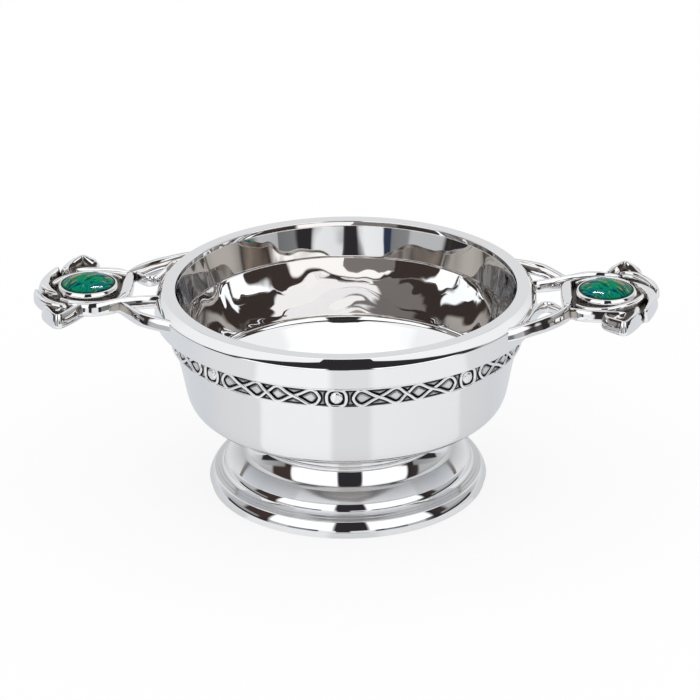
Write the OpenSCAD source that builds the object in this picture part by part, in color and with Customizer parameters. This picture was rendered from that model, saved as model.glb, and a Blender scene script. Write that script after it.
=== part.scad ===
// Quaich: a shallow two-lugged drinking cup in polished pewter.
// Millimetres, +Z up. The origin is on the cup's axis at table level,
// the lugs lie along X and the front is towards -Y.

/* [Foot] */
// Radius of the foot at the widest part of its roll
foot_r = 41; // [37:0.5:46]
// Height of the foot from the table to the bowl
foot_h = 18.2; // [16:0.2:22]
// Radius of the flat seat under the bowl
seat_r = 28; // [25:0.5:31]
// Radius of the hole through the top of the foot
foot_hole_r = 17; // [12:0.5:19]
// Thickness of the foot's wall
foot_wall = 1.8; // [1.2:0.1:2.2]
// Height of the plain strip that stands on the table
foot_strip_h = 1.8; // [1.2:0.1:2.4]
// Set-back of the strip from the roll
foot_strip_in = 0.5; // [0.3:0.1:1]
// Height of the thin groove between the strip and the roll
foot_groove_h = 0.25; // [0.2:0.05:0.5]
// Depth of the thin groove
foot_groove_in = 0.4; // [0.2:0.05:0.6]
// Height of the large roll
foot_roll_h = 3; // [2:0.1:4]
// Depth of the large roll
foot_roll_w = 3.6; // [2.5:0.1:4.5]
// Height of each fine fillet above the roll
fillet_h = 0.6; // [0.4:0.05:0.7]
// Set-back of each fine fillet
fillet_in = 0.4; // [0.2:0.05:0.5]
// Radius of the bead above the fillets
bead_r = 0.9; // [0.6:0.05:1.1]
// Slope of the cove where it leaves the bead, in degrees round its curve
cove_end = 25; // [10:1:40]
// Height of the thin rings under the bowl
foot_ring_h = 0.8; // [0.6:0.05:1]
// Height of the slot between the rings, and of the bevel above them
foot_slot_h = 0.5; // [0.3:0.05:0.7]
// Overhang of the thin rings
foot_ring_out = 0.7; // [0.3:0.05:1]

/* [Bowl] */
// Thickness of the bowl's wall
bowl_wall = 1.8; // [1.2:0.1:2.4]
// Extra thickness of the wall at the crease inside the neck
crease_in = 1.4; // [0:0.1:2]
// Height of the belly from the foot to the neck
belly_h = 27.8; // [25:0.2:32]
// Height of the neck from the belly to the lip
neck_h = 14.4; // [13:0.2:17]
// Widening of the neck inside the collar
neck_flare = 1; // [0.5:0.1:1.5]
// Lean of the belly where it leaves the neck, in degrees
belly_lean = 14.5; // [8:0.5:18]
// Rise of the belly where it leaves the foot, in degrees
belly_sweep = 24.5; // [15:0.5:28]

/* [Rim] */
// Radius of the collar at the bottom of its face
rim_r = 55.7; // [50:0.1:62]
// Width of the collar, from the neck of the bowl to the bottom of its face
collar_w = 5.5; // [4:0.1:7]
// Set-back of the collar's face at its top
rim_taper = 0.8; // [0:0.1:1.5]
// Depth of the collar's face, measured from the top of the lip
rim_face_h = 8; // [6.5:0.1:9]
// Thickness of the lip over the edge of the bowl
lip_t = 1.6; // [1.2:0.1:2]
// Radius of the rounded outer edge of the lip
lip_round = 1.6; // [1:0.1:2]
// Radius of the small rounded edges
edge_round = 0.4; // [0.2:0.05:0.6]

/* [Knot band] */
// Height of the band
band_h = 5.8; // [5:0.1:6.6]
// Thickness of the band's ground
band_t = 0.5; // [0.4:0.05:0.7]
// Height of the knotwork above the ground
relief = 0.55; // [0.3:0.05:0.7]
// Width of a strand of the knotwork
knot_w = 0.85; // [0.6:0.05:1.1]
// Width of the plain border above and below
border_w = 0.5; // [0.3:0.05:0.7]
// Bosses round the band
boss_count = 8; // [6:1:10]
// Radius of a boss
boss_r = 1.7; // [1.2:0.1:1.9]
// Half the length of a knot, as a share of the space between bosses
knot_share = 0.38; // [0.3:0.01:0.4]

/* [Lugs] */
// Length of the lug's open root, from the collar to the ring round the stone
root_len = 7.9; // [6.5:0.1:10]
// Distance of the outer roots from the middle of the lug
root_outer = 22.3; // [20:0.1:25]
// Distance of the inner roots from the middle of the lug
root_inner = 8.6; // [7.5:0.1:10]
// Width of a strand of the lug
strand_w = 2.4; // [1.8:0.1:2.8]
// Height of the lug
lug_t = 3.8; // [3:0.1:4.4]
// Drop from the top of the lip to the top of the lug
lug_drop = 1.2; // [0.8:0.1:2]
// Step between a strand and the one that it passes over
weave_step = 0.4; // [0.2:0.05:0.6]
// Reach of the pointed lobes beyond the ring round the stone
lobe_reach = 11.2; // [8:0.1:14]
// Thickness of the ground under the stone
plate_t = 1.5; // [1:0.1:2]

/* [Stones] */
// Diameter of the cabochon
stone_d = 16; // [13:0.5:18]
// Height of the cabochon's straight side
girdle_h = 2.6; // [2:0.1:3.2]
// Height of the cabochon's dome
dome_h = 3.2; // [2.4:0.1:4.5]
// Thickness of the bezel
bezel_wall = 1.2; // [0.8:0.1:1.5]
// Height of the bezel's edge above the girdle
bezel_grip = 0.55; // [0.3:0.05:0.8]
// Groove between the bezel and the strands
groove_w = 1.6; // [1:0.1:2.2]

/* [Hidden] */
$fn = 96;

// Clearance between pieces that fit together
fit = 0.05;
// Seam between the band and the pieces above and below it
seam = 0.2;
// Drop of the crease inside the bowl below the collar
crease_drop = 1;
// How far the belly keeps its lean, and its sweep, as shares of its height and width
side_pull = 0.85;
base_pull = 1.17;
// Share of the belly over which the extra thickness at the crease runs out
crease_run = 0.4;
// How square the ends of a knot are
knot_square = 0.15;
// Points on each curve of the turned profiles
turn_steps = 20;
// Points between two control points of a strand
strand_steps = 7;
// Points on half of a knot
knot_steps = 40;

// Levels, from the table up
belly_z = foot_h + belly_h;
band_z0 = belly_z + seam;
band_z1 = band_z0 + band_h;
collar_z0 = band_z1 + seam;
neck_z = belly_z + neck_h;
lip_z = neck_z + lip_t;
face_z0 = lip_z - rim_face_h;
face_z1 = lip_z - lip_round;
lug_top = lip_z - lug_drop;
lug_z0 = lug_top - lug_t;
plate_z = lug_z0 + plate_t;
girdle_z = plate_z + girdle_h;

// Radii that follow from the driving sizes
neck_r = rim_r - collar_w;
neck_in = neck_r - bowl_wall;
lip_in = neck_in + neck_flare;
rim_top_r = rim_r - rim_taper;
ground_r = neck_r + fit + band_t;
knot_r = ground_r + relief;
stone_r = stone_d / 2;
bezel_r = stone_r + fit + bezel_wall;
frame_r = bezel_r + groove_w + strand_w / 2;
stone_u = root_len + frame_r;
dome_r = (stone_r * stone_r + dome_h * dome_h) / (2 * dome_h);

pewter = [0.8, 0.81, 0.83];
dark_pewter = [0.45, 0.45, 0.47];
green = [0.05, 0.5, 0.38];

// Radius of the neck's outside at a height
function neck_at(z) =
    neck_r + neck_flare * max(0, z - collar_z0) / (neck_z - collar_z0);

// Point on a cubic with the control points a, b, c and d
function cubic(a, b, c, d, t) =
    pow(1 - t, 3) * a + 3 * pow(1 - t, 2) * t * b + 3 * (1 - t) * t * t * c + t * t * t * d;
function cubic_slope(a, b, c, d, t) =
    pow(1 - t, 2) * (b - a) + 2 * (1 - t) * t * (c - b) + t * t * (d - c);
function unit(v) = v / norm(v);

// Belly from the neck (t = 0) down to the seat (t = 1)
belly_a = [neck_r, belly_z];
belly_b = belly_a - side_pull * belly_h * [sin(belly_lean), cos(belly_lean)];
belly_d = [seat_r, foot_h];
belly_c = belly_d + base_pull * (neck_r - seat_r) * [cos(belly_sweep), sin(belly_sweep)];
function belly(t) = cubic(belly_a, belly_b, belly_c, belly_d, t);
function belly_inner(t) =
    let (s = unit(cubic_slope(belly_a, belly_b, belly_c, belly_d, t)),
         wall = bowl_wall + crease_in * pow(max(0, 1 - t / crease_run), 2))
    belly(t) + wall * [s[1], -s[0]];

// Smooth curve through a list of points, each span a cubic
function span(p, i, t) =
    let (last = len(p) - 1,
         a = p[max(i - 1, 0)], b = p[i], c = p[i + 1], d = p[min(i + 2, last)])
    cubic(b, b + (c - a) / 6, c - (d - b) / 6, c, t);
function smooth(p) = concat(
    [for (i = [0 : len(p) - 2]) for (k = [0 : strand_steps - 1]) span(p, i, k / strand_steps)],
    [p[len(p) - 1]]);

// Outline of a strand along a path, narrowed at its start and end
function across(p, i) =
    let (s = unit(p[min(i + 1, len(p) - 1)] - p[max(i - 1, 0)])) [-s[1], s[0]];
function half_width(n, i, w, start, finish) =
    w / 2 * min(1, start + 4 * (1 - start) * i / n, finish + 4 * (1 - finish) * (n - i) / n);
function strand_outline(p, w, start, finish) =
    let (n = len(p) - 1)
    concat(
        [for (i = [0 : n]) p[i] + half_width(n, i, w, start, finish) * across(p, i)],
        [for (i = [n : -1 : 0]) p[i] - half_width(n, i, w, start, finish) * across(p, i)]);

// Point in a lug, from the angle round its stone and the distance beyond the frame
function about(angle, beyond) =
    [stone_u + (frame_r + beyond) * cos(angle), (frame_r + beyond) * sin(angle)];

// Half of a knot: it runs from one round end to the other and crosses its twin three times
function knot_point(t) =
    let (pitch = 360 / boss_count,
         turn = knot_share * pitch * (cos(t) + knot_square * cos(3 * t)) / (1 + knot_square),
         reach = band_h / 2 - border_w - knot_w / 3)
    [knot_r * sin(turn), reach * sin(4 * t)];
knot_half = [for (i = [0 : knot_steps]) knot_point(180 * i / knot_steps)];

module bowl() {
    color(pewter)
    rotate_extrude()
    polygon(concat(
        [[0, foot_h]],
        [for (i = [turn_steps : -1 : 0]) belly(i / turn_steps)],
        [[neck_r, collar_z0], [neck_at(neck_z), neck_z], [lip_in, neck_z],
         [neck_in - crease_in, collar_z0 - crease_drop]],
        [for (i = [0 : turn_steps]) belly_inner(i / turn_steps)],
        [[0, belly_inner(1)[1]]]));
}

module rim_collar() {
    color(pewter)
    rotate_extrude()
    polygon(concat(
        [[neck_at(collar_z0) + fit, collar_z0], [neck_at(neck_z) + fit, neck_z], [lip_in, neck_z]],
        [for (a = [180 : -15 : 90])
            [lip_in + edge_round + edge_round * cos(a), lip_z - edge_round + edge_round * sin(a)]],
        [for (a = [90 : -10 : 0])
            [rim_top_r - lip_round + lip_round * cos(a), face_z1 + lip_round * sin(a)]],
        [for (a = [0 : -15 : -90])
            [rim_r - edge_round + edge_round * cos(a), face_z0 + edge_round + edge_round * sin(a)]]));
}

// Flat knotwork, bent on to the band by cutting it from a tube
module on_band() {
    intersection() {
        rotate([90, 0, 90])
        linear_extrude(height = knot_r + 1)
        children();
        translate([0, 0, -band_h])
        difference() {
            cylinder(r = knot_r, h = 2 * band_h);
            translate([0, 0, -1])
            cylinder(r = ground_r - band_t / 2, h = 2 * band_h + 2);
        }
    }
}

module knot() {
    on_band() {
        polygon(strand_outline(knot_half, knot_w, 1, 1));
        mirror([0, 1])
        polygon(strand_outline(knot_half, knot_w, 1, 1));
    }
}

// Ring round a boss, with a waisted bar on each side
module boss_surround() {
    ring_r = band_h / 2 - border_w;
    bar_x = ring_r + 2 * knot_w;
    bar_end = 0.8 * knot_w;
    bar_waist = 0.3 * knot_w;
    on_band() {
        difference() {
            circle(r = ring_r + knot_w / 2);
            circle(r = ring_r - knot_w / 2);
        }
        for (side = [-1, 1])
        translate([side * bar_x, 0])
        polygon([[-bar_end, -ring_r], [bar_end, -ring_r], [bar_waist, 0],
                 [bar_end, ring_r], [-bar_end, ring_r], [-bar_waist, 0]]);
    }
}

module border(z) {
    translate([0, 0, z])
    difference() {
        cylinder(r = knot_r - relief / 4, h = border_w);
        translate([0, 0, -1])
        cylinder(r = ground_r - band_t / 2, h = border_w + 2);
    }
}

module knot_band() {
    pitch = 360 / boss_count;
    mid_z = (band_z0 + band_z1) / 2;
    color(dark_pewter)
    union() {
        translate([0, 0, band_z0])
        difference() {
            cylinder(r = ground_r, h = band_h);
            translate([0, 0, -1])
            cylinder(r = neck_r + fit, h = band_h + 2);
        }
        border(band_z0);
        border(band_z1 - border_w);
        translate([0, 0, mid_z])
        for (i = [0 : boss_count - 1])
        rotate([0, 0, i * pitch]) {
            boss_surround();
            rotate([0, 0, pitch / 2])
            knot();
            translate([ground_r - band_t / 2, 0, 0])
            rotate([0, 90, 0])
            cylinder(r1 = boss_r, r2 = 0.7 * boss_r, h = relief + band_t / 2);
        }
    }
}

module foot() {
    strip_r = foot_r - foot_strip_in;
    groove_r = strip_r - foot_groove_in;
    roll_z = foot_strip_h + foot_groove_h;
    roll_in = foot_r - foot_roll_w;
    fillet_z = roll_z + foot_roll_h;
    bead_x = roll_in - 3 * fillet_in - bead_r / 2;
    bead_z = fillet_z + 3 * fillet_h + bead_r;
    cove_x = bead_x - bead_r / 2;
    cove_z0 = bead_z + bead_r;
    cove_z1 = foot_h - 2 * foot_ring_h - 2 * foot_slot_h;
    cove_w = cove_x - seat_r;
    cove_h = cove_z1 - cove_z0;
    ring_r = seat_r + foot_ring_out;
    slot_z = cove_z1 + foot_ring_h;
    // Cove from the bead (t = 0) up to the rings (t = 1): part of a quarter ellipse
    function cove(t, inside) =
        let (a = cove_end + (90 - cove_end) * t)
        [cove_x - (cove_w + inside) * (sin(a) - sin(cove_end)) / (1 - sin(cove_end)),
         cove_z1 - (cove_h + inside) * cos(a) / cos(cove_end)];
    color(pewter)
    rotate_extrude()
    polygon(concat(
        [[strip_r - foot_wall, 0], [strip_r, 0], [strip_r, foot_strip_h],
         [groove_r, foot_strip_h], [groove_r, roll_z]],
        [for (a = [0 : 9 : 90]) [roll_in + foot_roll_w * cos(a), roll_z + foot_roll_h * sin(a)]],
        [for (i = [0 : 2]) for (k = [0, 1]) [roll_in - (i + 0.5) * fillet_in, fillet_z + (i + k) * fillet_h]],
        [for (a = [-80 : 17 : 90]) [bead_x + bead_r * cos(a), bead_z + bead_r * sin(a)]],
        [for (i = [0 : turn_steps]) cove(i / turn_steps, 0)],
        [[ring_r, cove_z1], [ring_r, slot_z], [seat_r, slot_z], [seat_r, slot_z + foot_slot_h],
         [ring_r, slot_z + foot_slot_h], [ring_r, foot_h - foot_slot_h],
         [seat_r, foot_h], [foot_hole_r, foot_h], [foot_hole_r, foot_h - foot_wall]],
        [for (i = [turn_steps : -1 : 1]) cove(i / turn_steps, foot_wall)],
        [[strip_r - foot_wall, foot_strip_h]]));
}

// One strand of the lug: a flat-topped bar along a smooth curve
module strand(points, top = 0, w = strand_w, start = 1, finish = 1) {
    translate([0, 0, lug_z0])
    linear_extrude(height = lug_t + top * weave_step)
    polygon(strand_outline(smooth(points), w, start, finish));
}

// Ground of the lug, under the stone and inside the lobes
module lug_plate() {
    translate([0, 0, lug_z0])
    linear_extrude(height = plate_t)
    polygon(smooth([
        about(182, 0), about(222, 2), about(240, 1.5), about(268, 1), about(-88, 4),
        about(-78, lobe_reach), about(-60, 7), about(-40, 3), about(-15, 2), about(0, 2),
        about(15, 2), about(40, 3), about(60, 7), about(77, lobe_reach),
        about(88, 4), about(98, 1), about(120, 1.5), about(145, 2), about(182, 0)]));
}

// The lug as it lies along +X, with its origin on the collar's face
module lug_strands() {
    // Outer roots, swept in to the waist
    strand([[-7, -root_outer - 0.4], [-3, -root_outer + 0.3], [0.2 * root_len, -0.92 * root_outer],
            about(224, 7), about(222, 2), about(216, 0.2)], finish = 0.5);
    strand([[-7, root_outer + 0.4], [-3, root_outer - 0.3], [0.2 * root_len, 0.92 * root_outer],
            about(136, 7), about(138, 2), about(146, 0.2)], top = -1, finish = 0.5);
    // Inner strands, from the collar along both sides of the stone
    strand([[-3, root_inner], [0.5 * root_len, root_inner], about(144, 2.6), about(120, 1.8),
            about(98, 1.1), about(79, 2.2), about(62, 3.4), about(45, 3), about(22, 2.4),
            about(2, 2)], top = 1, finish = 0.5);
    strand([[-3, -root_inner], [0.5 * root_len, -root_inner], about(220, 3), about(238, 2.4),
            about(266, 1), about(-69, 1.8), about(-50, 2.4), about(-26, 1.2)], top = -1.5, finish = 0.5);
    // Crescent between the bowl and the stone
    strand([about(144, 0.6), about(160, 0.2), about(182, 0.3), about(204, 0.2), about(218, 1)],
           top = -0.5, w = 1.2 * strand_w, start = 0.5, finish = 0.6);
    // Ring along the front of the bezel
    strand([about(212, 0), about(240, -0.4), about(267, -0.6), about(-61, -0.9), about(-18, -1)],
           top = -1.5, w = 0.7 * strand_w, finish = 0.6);
    // Back lobe
    strand([about(108, 0.8), about(94, 3), about(85, 6.5), about(77, lobe_reach)],
           top = 1.5, start = 0.6, finish = 0.4);
    strand([about(77, lobe_reach), about(66, 7.6), about(53, 5), about(33, 3.4), about(6, 2.8)],
           start = 0.4, finish = 0.5);
    // Front lobe, with the band that comes round the tip
    strand([about(-108, 0.8), about(-94, 3.4), about(-86, 6.8), about(-78, lobe_reach)],
           start = 0.6, finish = 0.4);
    strand([about(44, -1), about(15, 0.2), about(-9, 1.3), about(-26, 2.2), about(-45, 3.8),
            about(-60, 7.4), about(-78, lobe_reach)],
           top = 1.5, start = 0.5, finish = 0.4);
    strand([about(-53, 0.4), about(-62, 4), about(-74, 8.4)], top = 0.5, w = 0.8 * strand_w,
           start = 0.8, finish = 0.4);
}

// Cone on which the lug's roots are seated, the same as the collar's face
module collar_face() {
    height = face_z1 - face_z0 - edge_round;
    slope = rim_taper / height;
    translate([0, 0, face_z0 + edge_round])
    cylinder(r1 = rim_r, r2 = rim_r - slope * rim_face_h, h = rim_face_h);
}

module lug() {
    color(pewter)
    difference() {
        translate([rim_r, 0, 0])
        union() {
            lug_plate();
            lug_strands();
        }
        collar_face();
        translate([rim_r + stone_u, 0, plate_z])
        cylinder(r = bezel_r + fit, h = 2 * lug_t);
    }
}

module bezel() {
    edge_z = girdle_z + bezel_grip;
    sphere_z = girdle_z + dome_h - dome_r;
    edge_r = sqrt(dome_r * dome_r - pow(edge_z - sphere_z, 2)) + 2 * fit;
    color(pewter)
    translate([rim_r + stone_u, 0, 0])
    rotate_extrude()
    polygon([[stone_r + fit, plate_z], [bezel_r, plate_z], [bezel_r, girdle_z],
             [(bezel_r + edge_r) / 2, edge_z], [edge_r, edge_z], [stone_r + fit, girdle_z]]);
}

module stone() {
    color(green)
    translate([rim_r + stone_u, 0, plate_z])
    intersection() {
        cylinder(r = stone_r, h = girdle_h + dome_h + 1);
        translate([0, 0, girdle_h + dome_h - dome_r])
        sphere(r = dome_r);
    }
}

module lug_right() { lug(); }
module lug_left() { rotate([0, 0, 180]) lug(); }
module bezel_right() { bezel(); }
module bezel_left() { rotate([0, 0, 180]) bezel(); }
module stone_right() { stone(); }
module stone_left() { rotate([0, 0, 180]) stone(); }

bowl();
rim_collar();
knot_band();
foot();
lug_left();
lug_right();
bezel_left();
bezel_right();
stone_left();
stone_right();
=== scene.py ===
# Quaich in polished pewter, with a band of interlace round the neck and a green stone in each lug
import bpy
import bmesh
import numpy as np
from mathutils import Matrix, Vector


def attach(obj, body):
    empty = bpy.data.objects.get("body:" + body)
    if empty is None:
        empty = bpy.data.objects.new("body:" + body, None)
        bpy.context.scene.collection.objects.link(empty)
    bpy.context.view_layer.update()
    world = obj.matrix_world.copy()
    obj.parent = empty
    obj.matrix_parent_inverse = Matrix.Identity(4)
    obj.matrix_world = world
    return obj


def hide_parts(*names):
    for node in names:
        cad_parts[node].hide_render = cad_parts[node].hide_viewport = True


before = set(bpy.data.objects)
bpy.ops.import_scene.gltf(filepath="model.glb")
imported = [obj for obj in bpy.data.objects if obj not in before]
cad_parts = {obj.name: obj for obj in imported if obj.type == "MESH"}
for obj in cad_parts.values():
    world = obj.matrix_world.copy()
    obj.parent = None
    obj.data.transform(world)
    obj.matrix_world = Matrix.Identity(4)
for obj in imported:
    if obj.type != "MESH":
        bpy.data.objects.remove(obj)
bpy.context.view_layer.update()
scene = bpy.context.scene
mm = 0.001
print("frame loaded")


# Shapes are worked out in millimetres and scaled once, when the mesh is made
weldGap = 2e-7
cornerShare = 0.45


def smoothStep(value, low, high):
    t = np.clip((value - low) / (high - low), 0, 1)
    return t * t * (3 - 2 * t)


def between(value, low, lowFull, highFull, high):
    # 1 in the middle of a range, running out to 0 at both ends
    return smoothStep(value, low, lowFull) * (1 - smoothStep(value, highFull, high))


def fullTurn(steps):
    return np.linspace(0, 2 * np.pi, steps, endpoint=False)


def bend(start, pull, end, steps):
    # quadratic curve from start to end, drawn towards pull
    t = np.linspace(0, 1, steps)[:, None]
    return (1 - t) ** 2 * start + 2 * (1 - t) * t * pull + t ** 2 * end


def cubic(a, b, c, d, t):
    t = t[:, None]
    return (1 - t) ** 3 * a + 3 * (1 - t) ** 2 * t * b + 3 * (1 - t) * t ** 2 * c + t ** 3 * d


def smoothPath(points, steps):
    # a curve through the points, each span a cubic whose slopes follow the neighbours
    p = np.asarray(points, float)
    padded = np.concatenate([p[:1], p, p[-1:]])
    t = np.linspace(0, 1, steps, endpoint=False)
    spans = [cubic(b, b + (c - a) / 6, c - (d - b) / 6, c, t)
             for a, b, c, d in zip(padded[:-3], padded[1:-2], padded[2:-1], padded[3:])]
    return np.concatenate(spans + [p[-1:]])


def squared(value, power):
    # turns a circle's cosine or sine into that of a squarer round: sign(v) |v|^(2 / power)
    return np.sign(value) * np.abs(value) ** (2 / power)


def gridSheet(points, closeRows=False, closeCols=False, oxideAndShade=0.0, waves=0.0):
    # points[row, column] is a surface of two parameters
    # the dark value is 0 for bright and 1 for blackened metal: oxide on the knot band and the lug grounds,
    # painted shade on the foot and the bezels; waves is the strength of the spinning waves
    return dict(points=np.asarray(points, float), closeRows=closeRows, closeCols=closeCols,
                oxideAndShade=oxideAndShade, waves=waves)


def gridQuads(sheet, first):
    rows, cols = sheet["points"].shape[:2]
    i = np.arange(rows if sheet["closeRows"] else rows - 1)
    j = np.arange(cols if sheet["closeCols"] else cols - 1)
    a, b = np.meshgrid(i, j, indexing="ij")
    a1, b1 = (a + 1) % rows, (b + 1) % cols
    quads = np.stack([a * cols + b, a * cols + b1, a1 * cols + b1, a1 * cols + b], -1)
    return quads.reshape(-1, 4) + first


def makePiece(name, sheets, material, replaced):
    # joins the sheets into one mesh, welds poles and seams, and turns the faces outwards
    verts, quads, painted, first = [], [], dict(oxideAndShade=[], waves=[]), 0
    for sheet in sheets:
        flat = sheet["points"].reshape(-1, 3)
        verts.append(flat)
        quads.append(gridQuads(sheet, first))
        for key, values in painted.items():
            values.append(np.broadcast_to(sheet[key], sheet["points"].shape[:2]).ravel())
        first += len(flat)
    mesh = bpy.data.meshes.new(name)
    mesh.from_pydata(np.concatenate(verts) * mm, [], np.concatenate(quads).tolist())
    for key, values in painted.items():
        layer = mesh.attributes.new(key, "FLOAT", "POINT")
        layer.data.foreach_set("value", np.concatenate(values).astype(np.float32))
    welded = bmesh.new()
    welded.from_mesh(mesh)
    bmesh.ops.remove_doubles(welded, verts=welded.verts, dist=weldGap)
    bmesh.ops.recalc_face_normals(welded, faces=welded.faces)
    welded.to_mesh(mesh)
    welded.free()
    mesh.polygons.foreach_set("use_smooth", np.ones(len(mesh.polygons), bool))
    mesh.materials.append(material)
    piece = bpy.data.objects.new(name, mesh)
    scene.collection.objects.link(piece)
    even = piece.modifiers.new("evenShading", "WEIGHTED_NORMAL")
    even.mode = "FACE_AREA"
    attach(piece, "root")
    if replaced:
        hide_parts(*replaced)
    print("made", name, len(mesh.polygons), "faces")


def roundCorners(corners, closed=True, steps=6):
    # a polyline of (radius, height, rounding) with each corner replaced by a short curve
    points = np.array([c[:2] for c in corners], float)
    rounding = [c[2] if len(c) > 2 else 0 for c in corners]
    before, after = np.roll(points, 1, 0), np.roll(points, -1, 0)
    out = []
    for k, (p, r) in enumerate(zip(points, rounding)):
        if r <= 0 or (not closed and k in (0, len(points) - 1)):
            out.append(p[None])
            continue
        into, outOf = before[k] - p, after[k] - p
        sizeIn, sizeOut = np.linalg.norm(into), np.linalg.norm(outOf)
        reach = min(r, cornerShare * sizeIn, cornerShare * sizeOut)
        out.append(bend(p + into / sizeIn * reach, p, p + outOf / sizeOut * reach, steps))
    return np.concatenate(out)


def turned(profile, segments=256, centre=(0, 0), closed=True, oxideAndShade=0.0, waves=0.0):
    # a (radius, height) profile carried round an upright axis
    angle = fullTurn(segments)
    r, z = profile[:, :1], profile[:, 1:2]
    points = np.stack([centre[0] + r * np.cos(angle), centre[1] + r * np.sin(angle), z + 0 * angle], -1)
    return gridSheet(points, closeRows=closed, closeCols=True, oxideAndShade=oxideAndShade, waves=waves)


# Shader nodes: each value given to a method is a socket to link or a plain value to set

class ShaderTree:
    def __init__(self, owner):
        owner.use_nodes = True
        self.nodes, self.links = owner.node_tree.nodes, owner.node_tree.links

    def feed(self, socket, value):
        if isinstance(value, bpy.types.NodeSocket):
            self.links.new(value, socket)
        elif isinstance(value, tuple) and socket.type == "RGBA":
            socket.default_value = (*value, 1)
        else:
            socket.default_value = value

    def put(self, node, **values):
        # a key is a property of the node, or the name of an input with _ for a space
        for key, value in values.items():
            if hasattr(node, key):
                setattr(node, key, value)
            else:
                self.feed(node.inputs[key.replace("_", " ")], value)
        return node

    def add(self, kind, **values):
        return self.put(self.nodes.new("ShaderNode" + kind), **values)

    def noise(self, vector, **values):
        return self.add("TexNoise", Vector=vector, **values).outputs["Fac"]

    def mapped(self, vector, **values):
        return self.add("Mapping", Vector=vector, **values).outputs["Vector"]

    def painted(self, name):
        return self.add("Attribute", attribute_name=name).outputs["Fac"]

    def math(self, operation, *values):
        node = self.add("Math", operation=operation)
        for socket, value in zip(node.inputs, values):
            self.feed(socket, value)
        return node.outputs["Value"]

    def ease(self, value, low, high, top=1.0):
        # 0 up to low, top from high on, smooth between them
        node = self.add("MapRange", interpolation_type="SMOOTHSTEP", Value=value,
                        From_Min=low, From_Max=high, To_Max=top)
        return node.outputs["Result"]

    def upTo(self, value, low, high):
        # 1 up to low, 0 from high on
        return self.math("SUBTRACT", 1.0, self.ease(value, low, high))

    def mix(self, factor, a, b, blend="MIX"):
        node = self.add("Mix", data_type="RGBA", blend_type=blend, Factor=factor, A=a, B=b)
        return node.outputs["Result"]

    def mixShaders(self, factor, first, second):
        node = self.add("MixShader", Fac=factor)
        self.feed(node.inputs[1], first)
        self.feed(node.inputs[2], second)
        return node.outputs["Shader"]

    def bump(self, height, distance, normal=None):
        node = self.add("Bump", Strength=1, Distance=distance, Height=height)
        if normal is not None:
            self.feed(node.inputs["Normal"], normal)
        return node.outputs["Normal"]

    def ramp(self, share, stops):
        # stops of (position, colour), where a plain number is a grey
        node = self.add("ValToRGB", Fac=share)
        elements = node.color_ramp.elements
        while len(elements) < len(stops):
            elements.new(0.5)
        for element, (position, colour) in zip(elements, stops):
            element.position = position
            element.color = (*colour, 1) if isinstance(colour, tuple) else (colour, colour, colour, 1)
        return node.outputs["Color"]


def newMaterial(name):
    material = bpy.data.materials.new(name)
    tree = ShaderTree(material)
    return material, tree, tree.nodes["Principled BSDF"]


# Metal finishes
pewter = dict(colour=(0.902, 0.91, 0.928), oxideAndShade=(0.018, 0.016, 0.015), gloss=0.018, haze=0.025,
              hazeScale=90, hazeRange=(0.45, 0.8), blackGloss=0.42, hollow=(0.66, 0.24), wave=0.00010,
              rippleScale=72, rippleStretch=(1, 1, 0.45), dentScale=1500)


def pewterMaterial(name, wave=1.0, waveScale=70, ripple=0.0, cavity=0.0, hammered=0.0,
                   oxideAndShade=pewter["oxideAndShade"]):
    # polished metal: faint haze in the gloss, slight waves, darkened where the attribute says, which is
    # oxide on some pieces and painted shade on others, and oxide in hollows
    p = pewter
    material, tree, shader = newMaterial(name)
    place = tree.add("TexCoord").outputs["Object"]
    haze = tree.noise(place, Scale=p["hazeScale"], Detail=5, Roughness=0.6)
    gloss = tree.add("MapRange", Value=haze, From_Min=p["hazeRange"][0], From_Max=p["hazeRange"][1],
                     To_Min=p["gloss"], To_Max=p["gloss"] + p["haze"]).outputs["Result"]
    dark = tree.painted("oxideAndShade")
    if cavity:
        hollow = tree.add("AmbientOcclusion", samples=12, only_local=True, Distance=cavity).outputs["AO"]
        dark = tree.math("MAXIMUM", dark, tree.ease(hollow, *p["hollow"]))
    normal = tree.bump(tree.noise(place, Scale=waveScale, Detail=1.5, Roughness=0.4), p["wave"] * wave)
    if ripple:
        # upright ripples, as strong as the waves attribute says
        upright = tree.mapped(place, Scale=p["rippleStretch"])
        ripples = tree.noise(upright, Scale=p["rippleScale"], Detail=0.4, Roughness=0.4)
        normal = tree.bump(tree.math("MULTIPLY", ripples, tree.painted("waves")), ripple, normal)
    if hammered:
        dents = tree.add("TexVoronoi", Vector=place, Scale=p["dentScale"]).outputs["Distance"]
        normal = tree.bump(dents, hammered, normal)
    rough = tree.add("Mix", Factor=dark, A=gloss, B=p["blackGloss"]).outputs["Result"]
    colour = tree.mix(dark, p["colour"], oxideAndShade)
    tree.put(shader, Metallic=1, Base_Color=colour, Roughness=rough, Normal=normal)
    return material


plainPewter = pewterMaterial("polishedPewter")
wavyPewter = pewterMaterial("spunPewter", ripple=0.0006)
knotPewter = pewterMaterial("knotPewter", wave=0)
bossPewter = pewterMaterial("hammeredPewter", wave=0, hammered=0.00012)
lugPewter = pewterMaterial("castPewter", wave=0.5, waveScale=260, cavity=0.0022, oxideAndShade=(0.13, 0.122, 0.115))
print("metal finishes ready")


# Bowl: a belly on a cubic curve, a straight neck, and inside it a crease below the flared mouth
bowl = dict(seatR=28.0, footH=18.2, bellyZ=46.0, neckR=50.2, wall=1.8, lean=14.5, sweep=24.5, sidePull=0.85,
            basePull=1.17, collarZ=52.2, neckZ=60.4, flare=1.0, neckWaves=0.7, neckWavesZ=(45, 52),
            inside=[(47.0, 51.2, 0.5), (45.4, 31.4, 1.8), (36.2, 24.2, 4.0), (27.0, 20.0, 4.0), (0, 20.0)])


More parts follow.
